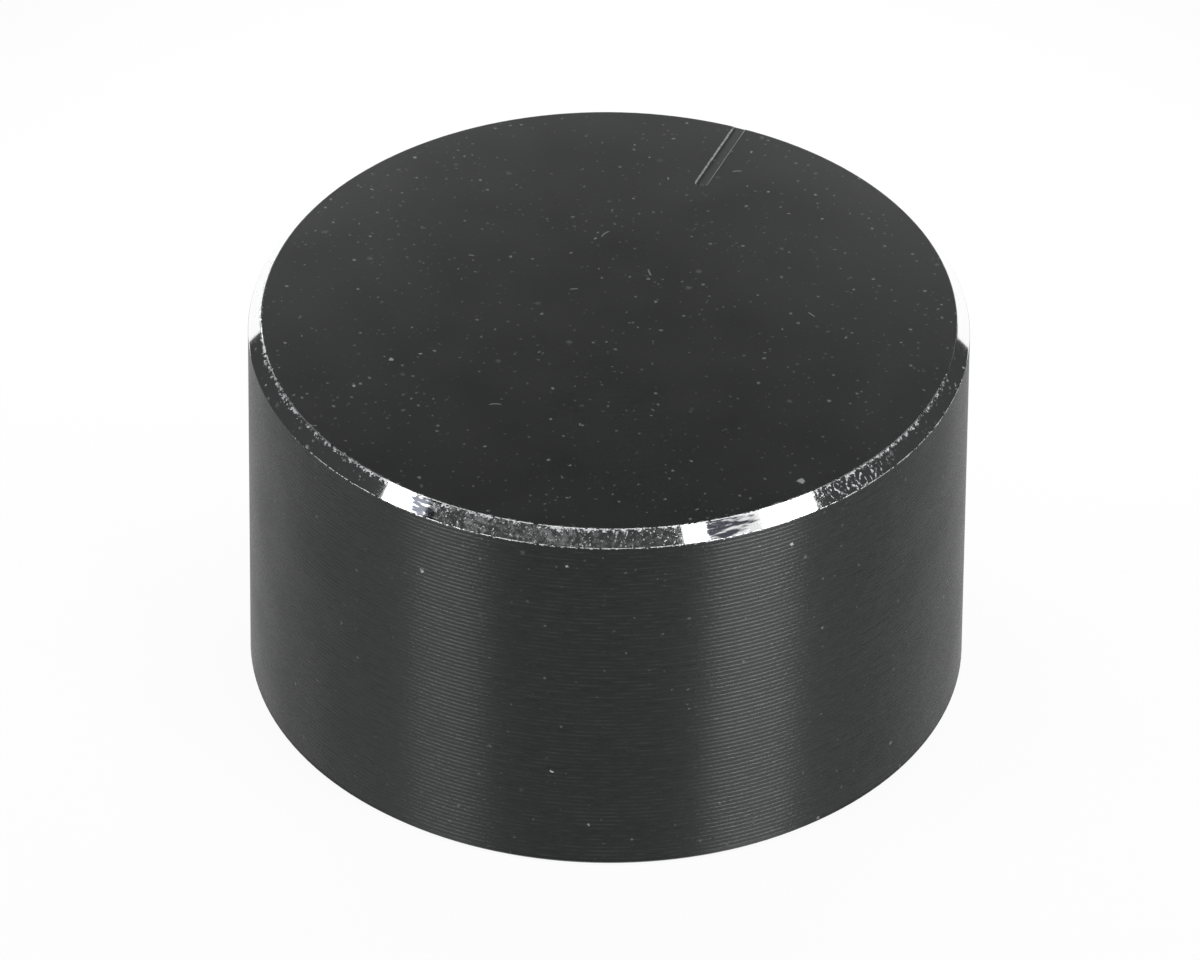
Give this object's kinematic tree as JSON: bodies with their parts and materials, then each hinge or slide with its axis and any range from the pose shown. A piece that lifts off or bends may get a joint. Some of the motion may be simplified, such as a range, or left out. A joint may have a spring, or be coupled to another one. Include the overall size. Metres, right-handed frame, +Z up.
{
  "type": "potentiometer knob",
  "caption": "Turned black aluminium control knob with a bright bevel, a milled indicator line, a recess for the panel nut, a blind shaft bore and a radial set screw.",
  "frame": {"origin": "on the shaft axis, in the plane of the base rim", "axes": "+Z up along the shaft axis to the top face, +Y the way the indicator line points"},
  "size_m": [0.03, 0.03, 0.0172],
  "materials": {
    "anodised_aluminium": "satin black anodised over fine turning marks, with a bright-cut bevel",
    "black_oxide_steel": "black oxide"
  },
  "bodies": {
    "root": {"knob_body": "anodised_aluminium", "set_screw": "black_oxide_steel"}
  },
  "joints": []
}
